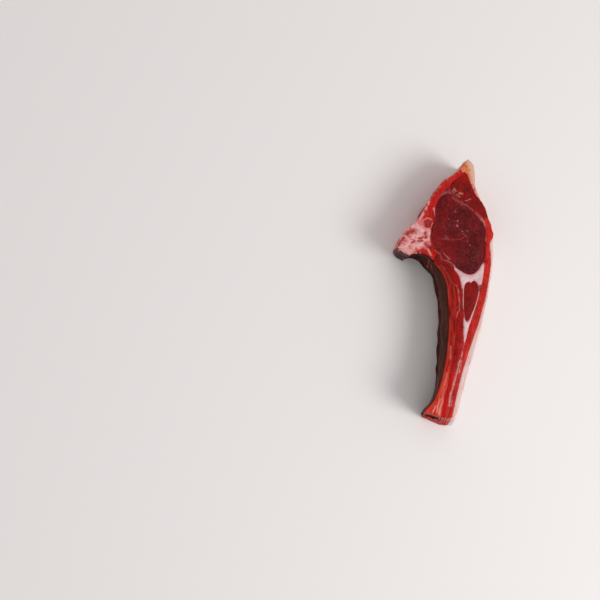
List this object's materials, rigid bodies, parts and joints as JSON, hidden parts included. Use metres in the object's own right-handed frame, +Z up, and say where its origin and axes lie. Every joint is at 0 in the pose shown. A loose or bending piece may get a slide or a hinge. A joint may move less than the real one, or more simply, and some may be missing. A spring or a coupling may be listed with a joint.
{
  "type": "lamb chop",
  "caption": "Raw lamb rib chop lying flat on a cut face, with lean muscle, fat, backbone and a long curved rib.",
  "frame": {"origin": "on the table, under the middle of the chop's length and width", "axes": "+Z up from the table, +Y from the tail of the rib to the tip of the backbone, +X to the fat side"},
  "size_m": [0.0552, 0.1532, 0.025],
  "materials": {
    "dark_lean": "raw dark red lean meat, moist",
    "lean": "raw bright red lean meat, moist",
    "bone": "sawn bone stained red",
    "outer_fat": "firm outer fat, creamy pink",
    "seam_fat": "white seam fat and sinew"
  },
  "bodies": {
    "root": {"eye_muscle": "dark_lean", "cap_muscle": "lean", "island_muscle": "dark_lean", "side_muscle": "lean", "rib_meat": "lean", "backbone": "bone", "rib_bone": "bone", "fat_tip": "outer_fat", "fat_cover": "outer_fat", "seam_fat": "seam_fat"}
  },
  "joints": []
}
